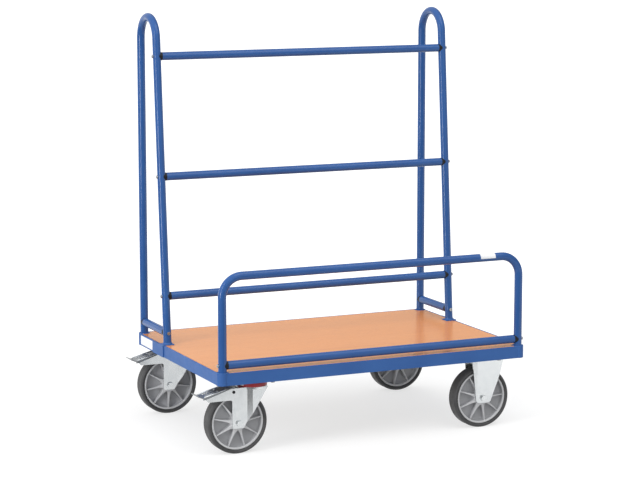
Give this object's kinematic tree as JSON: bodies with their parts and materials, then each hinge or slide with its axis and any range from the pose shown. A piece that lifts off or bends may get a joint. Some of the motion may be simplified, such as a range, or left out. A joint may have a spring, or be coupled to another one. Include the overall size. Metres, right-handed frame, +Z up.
{
  "type": "drywall cart",
  "caption": "Sheet trolley for plasterboard: flush wooden deck in a steel frame, leaning tube-rail back, low front hoop, braked swivel castors at one end and fixed castors at the other.",
  "frame": {"origin": "on the floor under the middle of the platform", "axes": "+X to the right along the platform, towards the fixed castors; +Y to the back, where the leaning back is; +Z up"},
  "size_m": [1.141, 0.744, 1.3519],
  "materials": {
    "frame_paint": "semi-gloss blue powder coat",
    "deck": "semi-gloss beech-coloured board",
    "zinc": "bright zinc plating",
    "pedal_steel": "zinc plating",
    "rim": "satin grey moulding",
    "tyre": "matt grey rubber",
    "black_plastic": "satin black moulding",
    "seal": "satin red moulding",
    "shoe": "matt black"
  },
  "bodies": {
    "chassis": {"front_rail": "frame_paint", "rear_rail": "frame_paint", "left_rail": "frame_paint", "right_rail": "frame_paint", "front_left_socket": "frame_paint", "front_right_socket": "frame_paint", "rear_left_socket": "frame_paint", "rear_right_socket": "frame_paint", "left_bearer": "frame_paint", "right_bearer": "frame_paint", "deck_board": "deck", "front_hoop": "frame_paint", "front_lower_rail": "frame_paint", "left_a_frame": "frame_paint", "right_a_frame": "frame_paint", "left_foot": "frame_paint", "right_foot": "frame_paint", "left_tie_rail": "frame_paint", "right_tie_rail": "frame_paint", "lower_back_rail": "frame_paint", "middle_back_rail": "frame_paint", "top_back_rail": "frame_paint", "rail_saddles": "black_plastic", "rail_screws": "zinc", "post_screws": "zinc", "castor_bolts": "zinc", "front_left_castor_plate": "zinc", "front_left_kingpin": "zinc", "rear_left_castor_plate": "zinc", "rear_left_kingpin": "zinc", "front_right_fork": "zinc", "front_right_axle": "zinc", "rear_right_fork": "zinc", "rear_right_axle": "zinc"},
    "front_left_swivel": {"front_left_fork": "zinc", "front_left_swivel_balls": "zinc", "front_left_seal_ring": "seal", "front_left_axle": "zinc", "front_left_pedal_pins": "zinc"},
    "front_left_wheel": {"front_left_rim": "rim", "front_left_tyre": "tyre", "front_left_bearings": "zinc"},
    "front_left_brake": {"front_left_pedal": "pedal_steel", "front_left_brake_shoe": "shoe"},
    "rear_left_swivel": {"rear_left_fork": "zinc", "rear_left_swivel_balls": "zinc", "rear_left_seal_ring": "seal", "rear_left_axle": "zinc", "rear_left_pedal_pins": "zinc"},
    "rear_left_wheel": {"rear_left_rim": "rim", "rear_left_tyre": "tyre", "rear_left_bearings": "zinc"},
    "rear_left_brake": {"rear_left_pedal": "pedal_steel", "rear_left_brake_shoe": "shoe"},
    "front_right_wheel": {"front_right_rim": "rim", "front_right_tyre": "tyre", "front_right_bearings": "zinc"},
    "rear_right_wheel": {"rear_right_rim": "rim", "rear_right_tyre": "tyre", "rear_right_bearings": "zinc"}
  },
  "joints": [
    {"name": "front_left_swivel_turn", "type": "hinge", "parent": "chassis", "child": "front_left_swivel", "pos_m": [-0.404, -0.306, 0.2105], "axis": [0, 0, 1], "continuous": true},
    {"name": "front_left_wheel_spin", "type": "hinge", "parent": "front_left_swivel", "child": "front_left_wheel", "pos_m": [-0.462, -0.306, 0.1], "axis": [0, 1, 0], "continuous": true},
    {"name": "front_left_brake_press", "type": "hinge", "parent": "front_left_swivel", "child": "front_left_brake", "pos_m": [-0.48, -0.306, 0.2015], "axis": [0, 1, 0], "range_deg": [-12, 0]},
    {"name": "rear_left_swivel_turn", "type": "hinge", "parent": "chassis", "child": "rear_left_swivel", "pos_m": [-0.404, 0.306, 0.2105], "axis": [0, 0, 1], "continuous": true},
    {"name": "rear_left_wheel_spin", "type": "hinge", "parent": "rear_left_swivel", "child": "rear_left_wheel", "pos_m": [-0.462, 0.306, 0.1], "axis": [0, 1, 0], "continuous": true},
    {"name": "rear_left_brake_press", "type": "hinge", "parent": "rear_left_swivel", "child": "rear_left_brake", "pos_m": [-0.48, 0.306, 0.2015], "axis": [0, 1, 0], "range_deg": [-12, 0]},
    {"name": "front_right_wheel_spin", "type": "hinge", "parent": "chassis", "child": "front_right_wheel", "pos_m": [0.404, -0.306, 0.1], "axis": [0, 1, 0], "continuous": true},
    {"name": "rear_right_wheel_spin", "type": "hinge", "parent": "chassis", "child": "rear_right_wheel", "pos_m": [0.404, 0.306, 0.1], "axis": [0, 1, 0], "continuous": true}
  ]
}
